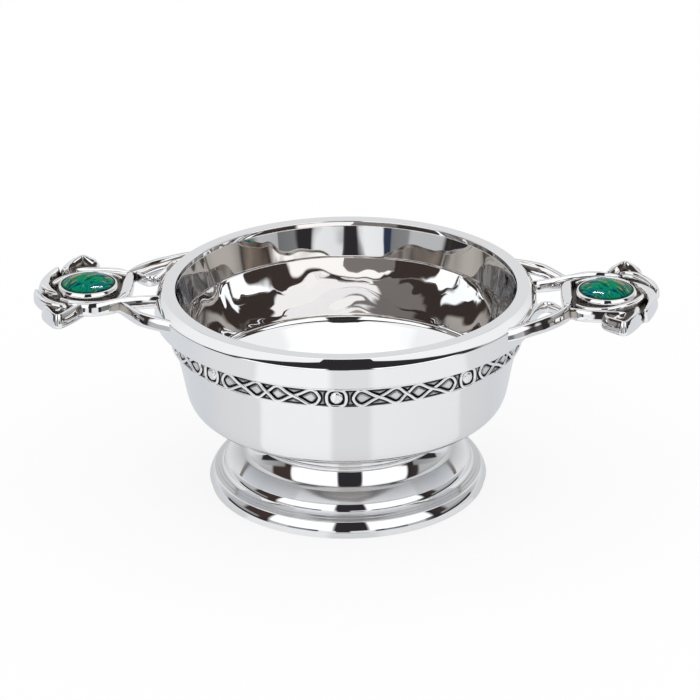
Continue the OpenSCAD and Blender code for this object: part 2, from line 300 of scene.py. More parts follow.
def bellyCurve(steps):
    # outside: a cubic from the neck to the seat
    b = bowl
    lean, sweep = np.radians(b["lean"]), np.radians(b["sweep"])
    start, end = np.array([b["neckR"], b["bellyZ"]]), np.array([b["seatR"], b["footH"]])
    first = start - b["sidePull"] * (start[1] - end[1]) * np.array([np.sin(lean), np.cos(lean)])
    second = end + b["basePull"] * (start[0] - end[0]) * np.array([np.cos(sweep), np.sin(sweep)])
    return cubic(start, first, second, end, np.linspace(0, 1, steps))


def makeBowl():
    b = bowl
    outer = bellyCurve(80)
    mouthIn = b["neckR"] - b["wall"] + b["flare"]
    corners = [(*outer[0],), (b["neckR"], b["collarZ"], 0.5), (b["neckR"] + b["flare"], b["neckZ"], 0.2),
               (mouthIn, b["neckZ"], 0.15)] + b["inside"]
    neck = roundCorners(corners, closed=False, steps=16)
    profile = np.concatenate([np.array([[0, b["footH"]]]), outer[::-1][:-1], neck])
    # the spinning waves are on the inner wall, stronger in the neck
    inner = np.arange(len(profile)) > np.argmax(profile[:, 1])
    waves = inner * (1 + b["neckWaves"] * smoothStep(profile[:, 1], *b["neckWavesZ"]))
    sheet = turned(profile, 320, closed=False, waves=waves[:, None])
    makePiece("bowlShell", [sheet], wavyPewter, ["bowl"])


# Collar: flat lip over the edge of the bowl, a chamfer, and a face that widens downwards
collar = dict(lipIn=49.4, lipOut=52.85, baseR=55.7, lipZ=62.0, lipT=1.6, faceZ=54.0, faceTop=(55.06, 59.2),
              seatZ=52.2, neckR=50.25, neckTopR=51.25,
              chamfer=[(53.0, 61.99), (54.02, 60.94), (55.03, 59.5)])


def makeCollar():
    c = collar
    underLip = c["lipZ"] - c["lipT"]
    # the chamfer bulges slightly
    chamfer = bend(*[np.array(p) for p in c["chamfer"]], 14)
    corners = [(c["neckR"], c["seatZ"], 0.1), (c["baseR"], c["faceZ"], 0.5), (*c["faceTop"], 0.2)]
    corners += [(*p,) for p in chamfer[::-1]]
    corners += [(c["lipOut"], c["lipZ"], 0.1), (c["lipIn"], c["lipZ"], 0.4), (c["lipIn"], underLip, 0.12),
                (c["neckTopR"], underLip, 0.05)]
    makePiece("rimCollar", [turned(roundCorners(corners, steps=9))], plainPewter, ["rim_collar"])


# Foot: strip, groove, ovolo, fine fillets, small ovolo, cove and thin rings, hollow underneath.
# "black" is the strength of the painted shade in the groove over the strip and in the crook under the rings,
# where shade and dark reflections fall; a weaker painted shade on the flat of the cove and on the fillets
# stands in for their dark reflections.
foot = dict(r=41.0, h=18.2, seatR=28.0, holeR=17.0, wall=1.8, stripH=1.8, stripIn=0.5, grooveH=0.25,
            grooveIn=0.4, rollTop=4.9, rollTurn=(15, 37), rollStep=(0.45, 0.08), fillets=3, filletR=39.2,
            filletZ=5.0, filletH=0.52, filletIn=0.82, filletRise=0.24, beadR=36.7, beadZ=6.6, beadTop=8.6,
            beadTurn=(15, 37), beadStep=(0.25, 0.05),
            coveLow=(35.5, 8.6), coveCorner=(30.9, 10.5), coveMid=(30.3, 11.2), coveTop=(28.15, 15.5),
            coveTurn=(20, 37), ringZ=15.6, ringH=0.8, slotH=0.5, ringOut=0.7, hollowTopR=26.0,
            hollow=[(28.2, 9.6, 2.0), (34.0, 7.2, 1.5)],
            black=0.85, blackIn=(0.1, 0.7), blackPast=0.02, crookR=27.5, crookZ=(15.25, 15.75),
            paintedDarkReflection=[(0.34, (8.6, 8.9, 10.8, 12.2)), (0.28, (4.85, 5.0, 6.3, 6.6))])


def ovolo(radius, low, high, turn, steps=14):
    # part of a circle, from its widest point up: its outward direction climbs through the angles of turn
    n = np.radians(np.linspace(turn[0], turn[1], steps))
    size = (high - low) / (np.sin(n[-1]) - np.sin(n[0]))
    r = radius + size * (np.cos(n) - np.cos(n[0]))
    z = low + size * (np.sin(n) - np.sin(n[0]))
    return np.stack([r, z], -1)


def steepCove(steps=16):
    # quadratic curve between the two slopes of coveTurn
    low, high = np.array(foot["coveMid"]), np.array(foot["coveTop"])
    slopes = [np.array([-np.sin(a), np.cos(a)]) for a in np.radians(foot["coveTurn"][::-1])]
    reach = np.linalg.solve(np.stack(slopes, -1), high - low)
    return bend(low, low + reach[0] * slopes[0], high, steps)


def makeFoot():
    f = foot
    stripR, rollZ = f["r"] - f["stripIn"], f["stripH"] + f["grooveH"]
    insideR, grooveR = stripR - f["wall"], stripR - f["grooveIn"]
    roll = ovolo(f["r"], rollZ, f["rollTop"], f["rollTurn"])
    bead = ovolo(f["beadR"], f["beadZ"], f["beadTop"], f["beadTurn"])
    ringR, slotZ = f["seatR"] + f["ringOut"], f["ringZ"] + f["ringH"]
    slotTop, roof = slotZ + f["slotH"], f["h"] - f["wall"]
    corners = [(insideR, 0, 0.2), (stripR, 0, 0.25), (stripR, f["stripH"], 0.15),
               (grooveR, f["stripH"], 0.05), (grooveR, rollZ, 0.05)]
    stepIn, stepUp = f["rollStep"]
    corners += [(*p,) for p in roll] + [(roll[-1][0] - stepIn, f["rollTop"] + stepUp, 0.3)]
    for i in range(f["fillets"]):
        # a low riser and a gently sloping tread
        x, z = f["filletR"] - i * f["filletIn"], f["filletZ"] + i * f["filletH"]
        corners += [(x, z - f["filletRise"], 0.03), (x, z, 0.08)]
    stepIn, stepUp = f["beadStep"]
    corners += [(*p,) for p in bead] + [(bead[-1][0] - stepIn, f["beadTop"] + stepUp, 0.2)]
    corners += [(*f["coveLow"], 0.3), (*f["coveCorner"], 0.7)] + [(*p,) for p in steepCove()]
    corners += [(ringR, f["ringZ"], 0.2), (ringR, slotZ, 0.25), (f["seatR"], slotZ, 0.08),
                (f["seatR"], slotTop, 0.08), (ringR, slotTop, 0.25), (ringR, f["h"] - f["slotH"], 0.2),
                (f["seatR"], f["h"]), (f["holeR"], f["h"], 0.1), (f["holeR"], roof, 0.3),
                (f["hollowTopR"], roof, 1.0)] + f["hollow"] + [(insideR, f["stripH"], 0.3)]
    profile = roundCorners(corners)
    # painted shade in the groove over the strip and in the crook under the rings, standing in for the shade
    # and dark reflections there
    r, z = profile[:, 0], profile[:, 1]
    (near, far), past = f["blackIn"], f["blackPast"]
    groove = (r < stripR - near) & (r > stripR - far) & (z > f["stripH"] - past) & (z < rollZ + past)
    crook = (r > f["crookR"]) & (r < ringR - near) & (z > f["crookZ"][0]) & (z < f["crookZ"][1])
    oxideAndShade = f["black"] * (groove | crook)
    # weaker painted shade on the flat of the cove and on the fillets, standing in for their dark reflections
    for strength, heights in f["paintedDarkReflection"]:
        oxideAndShade = np.maximum(oxideAndShade, strength * between(z, *heights))
    makePiece("footRing", [turned(profile, oxideAndShade=oxideAndShade[:, None])], plainPewter, ["foot"])


makeBowl()
makeCollar()
makeFoot()


# Knot band: strands swept over a ground of low pads, with a blackened groove along every strand
knot = dict(backR=50.25, grooveR=50.62, padRise=0.42, padSoft=(-0.18, 0.2), padDome=0.12, domeReach=0.7,
            padTone=0.36, domeTone=3.4, strandBase=50.7, strandTop=51.3, strandSink=0.15, strandW=0.92,
            strandSquare=3.0, weave=0.26, z0=46.2, height=5.8, border=0.55, railSoft=(0.06, -0.1),
            railDrop=0.1, groove=0.46, count=8, share=0.383, square=0.15, point=0.12, bossR=1.85,
            bossSink=0.05, bossRise=0.72, ringR=2.78, ringFlat=1.15, borderShare=0.75, strandShare=0.2,
            ringShare=0.6, grid=(224, 38), strandSteps=176, ringSteps=56, nearSteps=500)
knotPitch = 2 * np.pi / knot["count"]


def knotCurve(steps):
    # closed knot: turn = share of the pitch times (cos t + square cos 3t),
    # height = reach (sin 4t - point sin 12t), and over is above 0 where the strand passes over
    k = knot
    t = fullTurn(steps)
    turn = k["share"] * knotPitch * (np.cos(t) + k["square"] * np.cos(3 * t)) / (1 + k["square"])
    reach = k["height"] / 2 - k["borderShare"] * k["border"] - k["strandShare"] * k["strandW"]
    rise = reach * (np.sin(4 * t) - k["point"] * np.sin(12 * t)) / (1 + k["point"])
    over = np.cos(4 * t) * np.sin(t)
    return turn * k["strandTop"], rise, over


def ringCurve(steps):
    # ring round a boss, flattened towards the borders: height = limit tanh(flat z) / tanh(flat radius)
    k = knot
    angle = fullTurn(steps)
    s, z = k["ringR"] * np.cos(angle), k["ringR"] * np.sin(angle)
    limit = k["height"] / 2 - k["ringShare"] * k["border"]
    flat = k["ringFlat"] / limit
    return s, limit * np.tanh(flat * z) / np.tanh(flat * k["ringR"])


def onBand(s, z, r, turn):
    # flat band coordinates, s along and z up, bent round the neck
    angle = s / knot["strandTop"] + turn
    middle = knot["z0"] + knot["height"] / 2
    return np.stack([r * np.cos(angle), r * np.sin(angle), z + middle + 0 * angle], -1)


def bandStrand(s, z, lift, turn, steps=16):
    # a squarish round bar carried along a closed flat path
    k = knot
    ds, dz = np.roll(s, -1) - np.roll(s, 1), np.roll(z, -1) - np.roll(z, 1)
    size = np.hypot(ds, dz)
    acrossS, acrossZ = (-dz / size)[:, None], (ds / size)[:, None]
    phi = fullTurn(steps)
    a = squared(np.cos(phi), k["strandSquare"]) * k["strandW"] / 2
    b = squared(np.sin(phi), k["strandSquare"])
    top = k["strandTop"] - k["strandBase"]
    r = k["strandBase"] + np.where(b > 0, b * top, b * k["strandSink"]) + lift[:, None]
    return gridSheet(onBand(s[:, None] + acrossS * a, z[:, None] + acrossZ * a, r, turn), True, True)


def bandGround():
    # one sector runs from boss to boss, and its pads rise where the nearest strand is far enough away
    k = knot
    cols, rows = k["grid"]
    along = (np.arange(cols) / cols - 0.5) * knotPitch * k["strandTop"]
    up = np.linspace(-k["height"] / 2, k["height"] / 2, rows)
    gridS, gridZ = np.meshgrid(along, up, indexing="ij")
    strandS, strandZ, _ = knotCurve(k["nearSteps"])
    ringS, ringZ = ringCurve(k["ringSteps"])
    halfPitch = knotPitch * k["strandTop"] / 2
    linesS = np.concatenate([strandS, ringS - halfPitch, ringS + halfPitch])
    linesZ = np.concatenate([strandZ, ringZ, ringZ])
    away = np.hypot(gridS[..., None] - linesS, gridZ[..., None] - linesZ).min(-1)
    edge = k["height"] / 2 - np.abs(gridZ)
    away = np.minimum(away, np.maximum(edge - k["border"] + k["strandW"] / 2, 0))
    clear = k["strandW"] / 2 + k["groove"]
    toBoss = np.minimum(np.hypot(gridS - halfPitch, gridZ), np.hypot(gridS + halfPitch, gridZ))
    pad = smoothStep(away, clear + k["padSoft"][0], clear + k["padSoft"][1]) * (toBoss > k["ringR"])
    rail = smoothStep(edge, k["border"] + k["railSoft"][0], k["border"] + k["railSoft"][1])
    dome = k["padDome"] * smoothStep(away, clear, clear + k["domeReach"])
    railRise = k["strandTop"] - k["railDrop"] - k["grooveR"]
    radius = k["grooveR"] + np.maximum(pad * (k["padRise"] + dome), rail * railRise)
    black = 1 - np.maximum((k["padTone"] + k["domeTone"] * dome) * pad, rail)

    # the sector repeated round the neck, with a plain back
    radius, black = [np.tile(values, (k["count"], 1)) for values in (radius, black)]
    angle = (np.arange(cols * k["count"]) / cols * knotPitch)[:, None]
    height = np.concatenate([up[:1], up, up[-1:]]) + k["z0"] + k["height"] / 2
    back = np.full((len(radius), 1), k["backR"])
    radius = np.concatenate([back, radius, back], 1)
    black = np.concatenate([black[:, :1], black, black[:, -1:]], 1)
    points = np.stack([radius * np.cos(angle), radius * np.sin(angle), height[None] + 0 * radius], -1)
    return gridSheet(points, True, True, black)


def bandBoss(turn):
    # low dome: rise = sqrt(1 - share^3), with share 0 in the middle and 1 at the edge
    k = knot
    share = np.linspace(0, 1, 12)[:, None]
    angle = fullTurn(40)
    rise = np.sqrt(np.clip(1 - share ** 3, 0, 1))
    r = k["grooveR"] - k["bossSink"] + k["bossRise"] * rise + 0 * angle
    s, z = k["bossR"] * share * np.cos(angle), k["bossR"] * share * np.sin(angle)
    return gridSheet(onBand(s, z, r, turn), False, True)


def makeKnotBand():
    s, z, over = knotCurve(knot["strandSteps"])
    ringS, ringZ = ringCurve(knot["ringSteps"])
    strands, bosses = [], []
    for i in range(knot["count"]):
        strands.append(bandStrand(s, z, knot["weave"] * over, (i + 0.5) * knotPitch))
        strands.append(bandStrand(ringS, ringZ, 0 * ringS, i * knotPitch))
        bosses.append(bandBoss(i * knotPitch))
    makePiece("knotGround", [bandGround()], knotPewter, ["knot_band"])
    makePiece("knotStrands", strands, knotPewter, [])
    makePiece("knotBosses", bosses, bossPewter, [])


makeKnotBand()


# Lug: bars carried along plan curves and laid over and under each other on a thin ground.
# Each strand is a list of (x, y, top, width) in the right lug; "low" is its underside, "square" how flat
# its sides are, "waist" how far up its widest line is and "lean" the degrees its sides lean in above it.
lug = dict(stoneX=75.1, ground=(57.0, 58.4), steps=10, around=28, rings=10, endDrop=0.25,
           outline=[(64.2, 0), (65.5, -9), (68, -13), (73.8, -13.8), (75.0, -18.4), (79.8, -21.6),
                    (83.2, -17.2), (86.0, -13), (87.6, -4), (88.4, 3), (87.8, 8), (85.6, 13.5),
                    (84.0, 17), (81, 21.8), (77, 16), (73.5, 14.2), (68, 12.6), (65.6, 8.6), (64.2, 0)])
lugStrands = dict(
    frontRoot=dict(low=56.7, square=3.8, waist=0.25, lean=17.5, path=[
        (44.2, -28.7, 60.2, 3.0), (49.6, -25.8, 60.6, 3.4), (54.2, -22.4, 60.8, 3.3),
        (58.3, -18.9, 61.0, 3.3), (62.0, -14.6, 61.1, 3.1), (64.2, -11.0, 61.0, 2.4),
        (64.9, -9.2, 60.8, 1.4)]),
    frontArch=dict(low=57.2, square=3.0, waist=0.25, lean=6.0, path=[
        (51.6, -21.6, 60.2, 1.3), (52.9, -18.6, 60.4, 1.5), (54.4, -13.3, 60.5, 1.6),
        (56.1, -9.2, 60.6, 1.7), (58.0, -7.8, 60.6, 1.7), (60.0, -8.8, 60.5, 1.6),
        (62.6, -11.9, 60.3, 1.4)]),
    backRoot=dict(low=56.8, square=3.8, waist=0.25, lean=17.5, path=[
        (45.4, 26.2, 60.2, 2.9), (52.8, 22.5, 60.6, 3.2), (57.2, 19.7, 60.7, 3.1),
        (60.6, 15.6, 60.6, 2.9), (63.2, 12.2, 60.4, 2.6), (65.2, 10.8, 60.0, 1.6)]),
    backInner=dict(low=57.0, square=3.6, waist=0.25, lean=13.0, path=[
        (52.4, 7.4, 60.5, 2.4), (54.8, 7.4, 60.7, 2.4), (59.6, 8.6, 61.0, 2.4), (64.4, 10.5, 61.2, 2.5),
        (69.0, 13.0, 61.2, 2.7), (72.8, 14.0, 61.0, 2.7), (76.4, 13.6, 60.7, 2.3), (79.6, 12.4, 60.4, 1.5)]),
    frontInner=dict(low=57.0, square=3.6, waist=0.25, lean=13.0, path=[
        (64.2, -11.2, 60.3, 1.6), (67.4, -13.0, 60.5, 2.3), (70.2, -13.6, 60.5, 2.3),
        (74.5, -13.9, 60.4, 2.2), (78.2, -13.9, 60.3, 1.9), (80.6, -13.7, 60.0, 1.2)]),
    crescent=dict(low=57.2, square=3.0, waist=0.5, lean=0.0, path=[
        (66.2, 10.2, 60.2, 0.9), (64.8, 8.0, 60.7, 1.6), (63.9, 5.0, 61.1, 3.0), (63.7, 0.6, 61.1, 3.4),
        (63.8, -3.4, 61.1, 3.3), (63.8, -7.4, 61.0, 2.6), (64.0, -10.4, 60.8, 1.8)]),
    ringFront=dict(low=57.4, square=2.4, waist=0.5, lean=0.0, path=[
        (66.2, -7.8, 60.0, 0.9), (69.6, -10.5, 60.1, 1.1), (74.7, -11.4, 60.4, 1.2),
        (79.1, -9.6, 60.7, 1.5), (82.8, -6.6, 60.8, 1.7), (85.0, -3.4, 60.8, 1.7), (85.6, -1.4, 60.7, 1.0)]),
    ringBack=dict(low=57.4, square=2.4, waist=0.5, lean=0.0, path=[
        (66.4, 8.2, 60.0, 0.9), (69.6, 10.6, 60.2, 1.2), (74.4, 11.6, 60.4, 1.3), (79.0, 10.6, 60.4, 1.3),
        (82.2, 8.4, 60.2, 1.0)]),
    tipBand=dict(low=56.7, square=3.4, waist=0.25, lean=10.0, path=[
        (82.7, 7.4, 60.6, 0.9), (83.8, 6.0, 61.0, 1.8), (86.0, 3.4, 61.2, 3.2), (87.7, 0.2, 61.3, 4.2),
        (88.0, -3.4, 61.3, 3.9), (87.6, -7.4, 61.2, 2.9), (86.6, -11.2, 61.0, 2.5),
        (85.7, -13.8, 60.8, 2.2)]),
    hook=dict(low=56.6, square=3.4, waist=0.25, lean=16.0, path=[
        (83.6, -10.8, 61.0, 2.8), (83.6, -13.0, 61.1, 3.8), (83.0, -16.0, 61.1, 3.2),
        (81.9, -18.9, 61.1, 2.7), (80.7, -21.2, 61.0, 2.5), (79.6, -22.3, 61.0, 2.5),
        (78.3, -21.4, 61.0, 2.6), (76.7, -20.0, 60.9, 2.7), (75.3, -18.7, 60.8, 2.6),
        (74.6, -17.3, 60.7, 2.4), (74.6, -15.8, 60.5, 2.0), (75.0, -14.2, 60.2, 1.4)]),
    backLobe=dict(low=56.6, square=3.4, waist=0.25, lean=16.0, path=[
        (74.6, 13.6, 60.4, 1.6), (76.0, 15.0, 60.9, 2.5), (77.4, 17.4, 61.2, 3.0),
        (78.9, 20.0, 61.1, 2.8), (80.2, 22.0, 61.0, 2.5), (81.2, 22.5, 61.0, 2.4),
        (82.4, 21.3, 61.0, 2.4), (83.7, 19.1, 61.1, 2.7), (84.8, 17.0, 61.0, 2.9),
        (85.6, 15.0, 60.6, 2.4), (86.4, 13.2, 59.8, 1.4)]),
    backCross=dict(low=57.0, square=2.6, waist=0.4, lean=4.0, path=[
        (79.4, 14.6, 60.5, 0.9), (81.6, 14.8, 60.8, 1.4), (84.4, 13.4, 61.0, 1.7),
        (87.0, 10.5, 61.0, 2.0), (89.0, 6.6, 60.9, 2.2), (90.0, 2.8, 60.6, 1.6)]),
    backFine=dict(low=57.2, square=2.4, waist=0.5, lean=0.0, path=[
        (80.0, 13.2, 60.2, 0.7), (82.3, 12.7, 60.5, 0.9), (84.4, 11.3, 60.5, 1.0), (86.4, 9.0, 60.5, 1.0),
        (88.0, 6.2, 60.3, 0.7)]),
)


def lugBar(path, low, square, waist, lean):
    # a squarish round bar on its path, sides leaning in above the waist, ends drawn in to a half round
    p = smoothPath(path, lug["steps"])
    flat = np.gradient(p[:, :2], axis=0)
    flat /= np.linalg.norm(flat, axis=1)[:, None]
    across = np.stack([-flat[:, 1], flat[:, 0]], -1)[:, None]
    run = np.concatenate([[0], np.cumsum(np.linalg.norm(np.diff(p[:, :2], axis=0), axis=1))])
    toEnd = np.clip(np.minimum(run, run[-1] - run) / (0.5 * p[:, 3]), 0, 1)
    taper = np.sqrt(np.clip(1 - (1 - toEnd) ** 2, 0, 1))[:, None]
    phi = fullTurn(lug["around"])
    a, b = squared(np.cos(phi), square), squared(np.sin(phi), square)
    tall = (p[:, 2] - low)[:, None]
    below, above = waist * tall, (1 - waist) * tall
    drawn = np.tan(np.radians(lean)) * above * taper * np.clip(b, 0, 1) * a
    side = p[:, 3:] / 2 * taper * a - drawn
    plan = p[:, None, :2] + across * side[..., None]
    full = 1 - lug["endDrop"] + lug["endDrop"] * taper
    height = low + below + np.where(b > 0, above, below) * b * full
    return gridSheet(np.concatenate([plan, height[..., None]], -1), False, True)


def lugGround():
    # thin plate under the stone and inside the lobes, blackened on top: rings drawn in to the middle
    outline = smoothPath(lug["outline"], 8)[:-1]
    centre = np.array([lug["stoneX"], 0])
    low, high = lug["ground"]
    rings = lug["rings"]
    out = np.linspace(0, 1, rings)
    share = np.concatenate([out, out[::-1]])[:, None, None]
    level = np.repeat([low, high], rings)[:, None]
    plan = centre + share * (outline - centre)
    points = np.concatenate([plan, (level + 0 * outline[:, 0])[..., None]], -1)
    return gridSheet(points, False, True, np.repeat([0.0, 1.0], rings)[:, None])


def turnedHalf(sheet):
    return dict(sheet, points=sheet["points"] * np.array([-1, -1, 1]))


def makeLugs():
    sheets = [lugBar(**strand) for strand in lugStrands.values()] + [lugGround()]
    makePiece("lugRight", sheets, lugPewter, ["lug_right"])
    makePiece("lugLeft", [turnedHalf(sheet) for sheet in sheets], lugPewter, ["lug_left"])


makeLugs()


# Stones: domed discs in rings of metal
stone = dict(r=7.9, low=58.5, girdle=61.07, dome=2.62, edge=0.1, fit=0.05, bezelR=8.85, bezelTop=61.25,
             bezelDrop=0.6, crownIn=0.55, crownRise=0.12, shadowW=0.16,
             streakTurn=44, streakScale=(220, 740, 200), fleckShift=(3.1, 1.7, 0.4),
             fleckScale=(1.3, 0.8, 1), fleckFrom=(0.585, 0.65), rim=(6.9, 7.6, 0.8),
             rimColour=(0, 0.01, 0.008), gloss=0.09, shine=0.03,
             body=[(0.36, (0.0, 0.010, 0.045)), (0.42, (0.0, 0.04, 0.15)), (0.455, (0.0, 0.13, 0.145)),
                   (0.49, (0.0, 0.22, 0.125)), (0.56, (0.0, 0.26, 0.10)), (0.61, (0.0, 0.075, 0.045))],
             fleck=[(0.38, (0.09, 0.24, 0.06)), (0.48, (0.37, 0.25, 0.075)), (0.58, (0.46, 0.21, 0.06))])


def stoneMaterial(name, side):
    # green body with blue streaks and tan flecks drawn out along one direction, under a low gloss
    s = stone
    material, tree, shader = newMaterial(name)
    place = tree.add("TexCoord").outputs["Object"]
    centred = tree.mapped(place, Scale=(side, 1, 1), Location=(-lug["stoneX"] * mm, 0, 0))
    lengthwise = tree.mapped(centred, Rotation=(0, 0, np.radians(s["streakTurn"])))
    streaks = tree.mapped(lengthwise, Scale=s["streakScale"])
    body = tree.noise(streaks, Scale=1, Detail=5, Roughness=0.64, Distortion=0.6)
    moved = tree.mapped(streaks, Location=s["fleckShift"], Scale=s["fleckScale"])
    flecks = tree.noise(moved, Scale=1, Detail=3, Roughness=0.55, Distortion=0.5)
    amount = tree.ease(flecks, *s["fleckFrom"])
    colour = tree.mix(amount, tree.ramp(body, s["body"]), tree.ramp(body, s["fleck"]))
    # darker towards the ring
    plan = tree.add("VectorMath", operation="MULTIPLY")
    tree.feed(plan.inputs[0], centred)
    tree.feed(plan.inputs[1], (1, 1, 0))
    fromCentre = tree.add("VectorMath", operation="LENGTH")
    tree.feed(fromCentre.inputs[0], plan.outputs["Vector"])
    rimIn, rimOut, rimDark = s["rim"]
    rim = tree.ease(fromCentre.outputs["Value"], rimIn * mm, rimOut * mm, rimDark)
    tree.put(shader, Base_Color=tree.mix(rim, colour, s["rimColour"]), Roughness=s["gloss"], IOR=1.5,
             Specular_IOR_Level=s["shine"])
    return material


def makeStone(side, name):
    s = stone
    ballR = (s["r"] ** 2 + s["dome"] ** 2) / (2 * s["dome"])
    ballZ = s["girdle"] + s["dome"] - ballR
    slope = np.linspace(np.arcsin(s["r"] / ballR), 0, 48)
    dome = np.stack([ballR * np.sin(slope), ballZ + ballR * np.cos(slope)], -1)
    under = np.array([[0, s["low"]], [s["r"] - s["edge"], s["low"]], [s["r"], s["low"] + s["edge"]],
                      [s["r"], s["girdle"] - s["edge"]]])
    centre = (side * lug["stoneX"], 0)
    disc = turned(np.concatenate([under, dome]), 160, centre, closed=False)
    makePiece("stone" + name, [disc], stoneMaterial("greenStone" + name, side),
              ["stone_" + name.lower()])
    # the ring ends just clear of the dome, with a painted shadow along that edge where it meets the stone
    edgeR = np.sqrt(ballR ** 2 - (s["bezelTop"] - ballZ) ** 2) + 2 * s["fit"]
    innerR = s["r"] + s["fit"]
    ring = roundCorners([(innerR, s["low"], 0.1), (s["bezelR"], s["low"], 0.2),
                         (s["bezelR"], s["girdle"] - s["bezelDrop"], 0.6),
                         (s["bezelR"] - s["crownIn"], s["bezelTop"] + s["crownRise"], 0.45),
                         (edgeR, s["bezelTop"], 0.12), (innerR, s["girdle"], 0.05)], steps=8)
    shadowed = (ring[:, 0] < edgeR + s["shadowW"])[:, None].astype(float)
    makePiece("bezel" + name, [turned(ring, 96, centre, oxideAndShade=shadowed)], plainPewter,
              ["bezel_" + name.lower()])


makeStone(1, "Right")
makeStone(-1, "Left")


# Floor: white to the eye with a soft shadow; what the metal mirrors is a pale board, unevenly lit.
# Tones round the cup are stops of (degrees round from the camera, tone).
floor = dict(rings=(0, 120, 300, 800, 2000, 4000), colour=(0.98, 0.98, 0.98), lift=0.80, turn=5.3, glow=0.6,
             mirrored=[(-180, 0.77), (-120, (0.71, 0.73, 0.76)), (-95, (0.71, 0.73, 0.75)), (-75, 0.77),
                       (-52, 0.79), (-49, 0.97), (-12, 0.97), (-9, 0.79), (9, 0.79), (12, 0.91), (63, 0.89),
                       (66, 0.76), (95, (0.71, 0.72, 0.74)), (120, (0.72, 0.74, 0.76)), (180, 0.77)])


def azimuthShare(tree, vector, turn):
    # degrees round from the camera, as a share of the full turn, 0.5 being towards the camera
    level = tree.mapped(vector, Rotation=(0, 0, np.radians(-turn)))
    axes = tree.add("SeparateXYZ", Vector=level).outputs
    angle = tree.math("ARCTAN2", axes["X"], tree.math("MULTIPLY", axes["Y"], -1))
    return tree.math("MULTIPLY_ADD", angle, 0.5 / np.pi, 0.5), axes


def aroundRamp(tree, share, stops):
    return tree.ramp(share, [((angle + 180) / 360, tone) for angle, tone in stops])


def floorMaterial():
    material, tree, shader = newMaterial("whiteFloor")
    path = tree.add("LightPath").outputs
    tree.put(shader, Base_Color=floor["colour"], Roughness=1, Specular_IOR_Level=0)
    white = tree.add("Emission", Strength=1).outputs["Emission"]
    lift = tree.math("MULTIPLY", path["Is Camera Ray"], floor["lift"])
    seen = tree.mixShaders(lift, shader.outputs["BSDF"], white)
    share, _ = azimuthShare(tree, tree.add("TexCoord").outputs["Object"], floor["turn"])
    tones = aroundRamp(tree, share, floor["mirrored"])
    matt = tree.add("BsdfDiffuse", Color=tones).outputs["BSDF"]
    bright = tree.add("Emission", Strength=1, Color=tones).outputs["Emission"]
    board = tree.mixShaders(floor["glow"], matt, bright)
    surface = tree.mixShaders(path["Is Glossy Ray"], seen, board)
    tree.feed(tree.nodes["Material Output"].inputs["Surface"], surface)
    return material


def makeFloor():
    ring = np.array(floor["rings"])[:, None]
    angle = fullTurn(96)
    points = np.stack([ring * np.cos(angle), ring * np.sin(angle), 0 * ring + 0 * angle], -1)
    mesh = bpy.data.meshes.new("floor")
    quads = gridQuads(gridSheet(points, False, True), 0)
    mesh.from_pydata(points.reshape(-1, 3) * mm, [], quads[:, ::-1].tolist())
    mesh.materials.append(floorMaterial())
    piece = bpy.data.objects.new("floor", mesh)
    scene.collection.objects.link(piece)
    print("floor ready")


makeFloor()


# Studio, as the metal sees it: two light panels with a gap for the camera, a dark slot above them and
# white behind. Directions are degrees round from the camera and degrees up, and a pair of degrees is where
# an edge starts and ends.
brown = (0.05, 0.036, 0.030)
black = (0.028, 0.025, 0.027)
navy = (0.03, 0.04, 0.07)
cream = (1.18, 1.12, 1.05)
umber = (0.22, 0.195, 0.175)
studio = dict(
    turn=5.3,
    low=[(-180, 0.84), (-140, 0.78), (-105, 0.40), (-79, 0.26), (-77, brown), (-70, black), (-67, 0.5),
         (-51, 0.5), (-49, 0.24), (-34, 0.20), (-33, navy), (-26.5, navy), (-25.5, 0.85), (-12.5, 0.9),
         (-11.5, black), (-1.5, black), (-0.5, 0.78), (18, 0.85), (19, black), (25.5, black),
         (26.5, 0.20), (45, 0.17), (46.5, 0.45), (61, 0.5), (63, umber), (70, black), (76, black),
         (78, 0.26), (105, 0.40), (140, 0.78), (180, 0.84)],
    panels=[(-180, 0.77), (-140, 0.76), (-122, 0.68), (-110, 0.5), (-97, 0.46), (-93, brown),
            (-70, brown), (-67, 1.2), (-15, 1.2), (-13.5, black), (13.5, black), (15, 1.2), (67, 1.2),
            (70, black), (82, brown), (86, 0.46), (110, 0.5), (122, 0.68), (140, 0.76), (180, 0.77)],
    upper=[(-180, 0.765), (-150, 0.78), (-118, 0.95), (-96, 0.95), (-65, 0.98), (65, 0.98), (96, 0.95),
           (118, 0.95), (150, 0.78), (180, 0.765)],
    lowTop=(9, 12), zenith=(1.12, 1.12, 1.11), zenithFrom=(61, 67),
    horizon=dict(up=(4, 6), around=(75, 77), last=(112, 116)),
    slot=dict(level=44.5, droop=0.0021, height=16.5, side=94, soft=0.6),
    hood=dict(rise=12.5, around=(19.5, 21.5), shift=2.2),
    ceiling=dict(colour=(0.30, 0.335, 0.35), up=(36, 44), last=(58, 66), back=(0.42, 0.58)),
    diffuse=(1.04, 1.04, 1.04), bounces=20, glossyBounces=16)

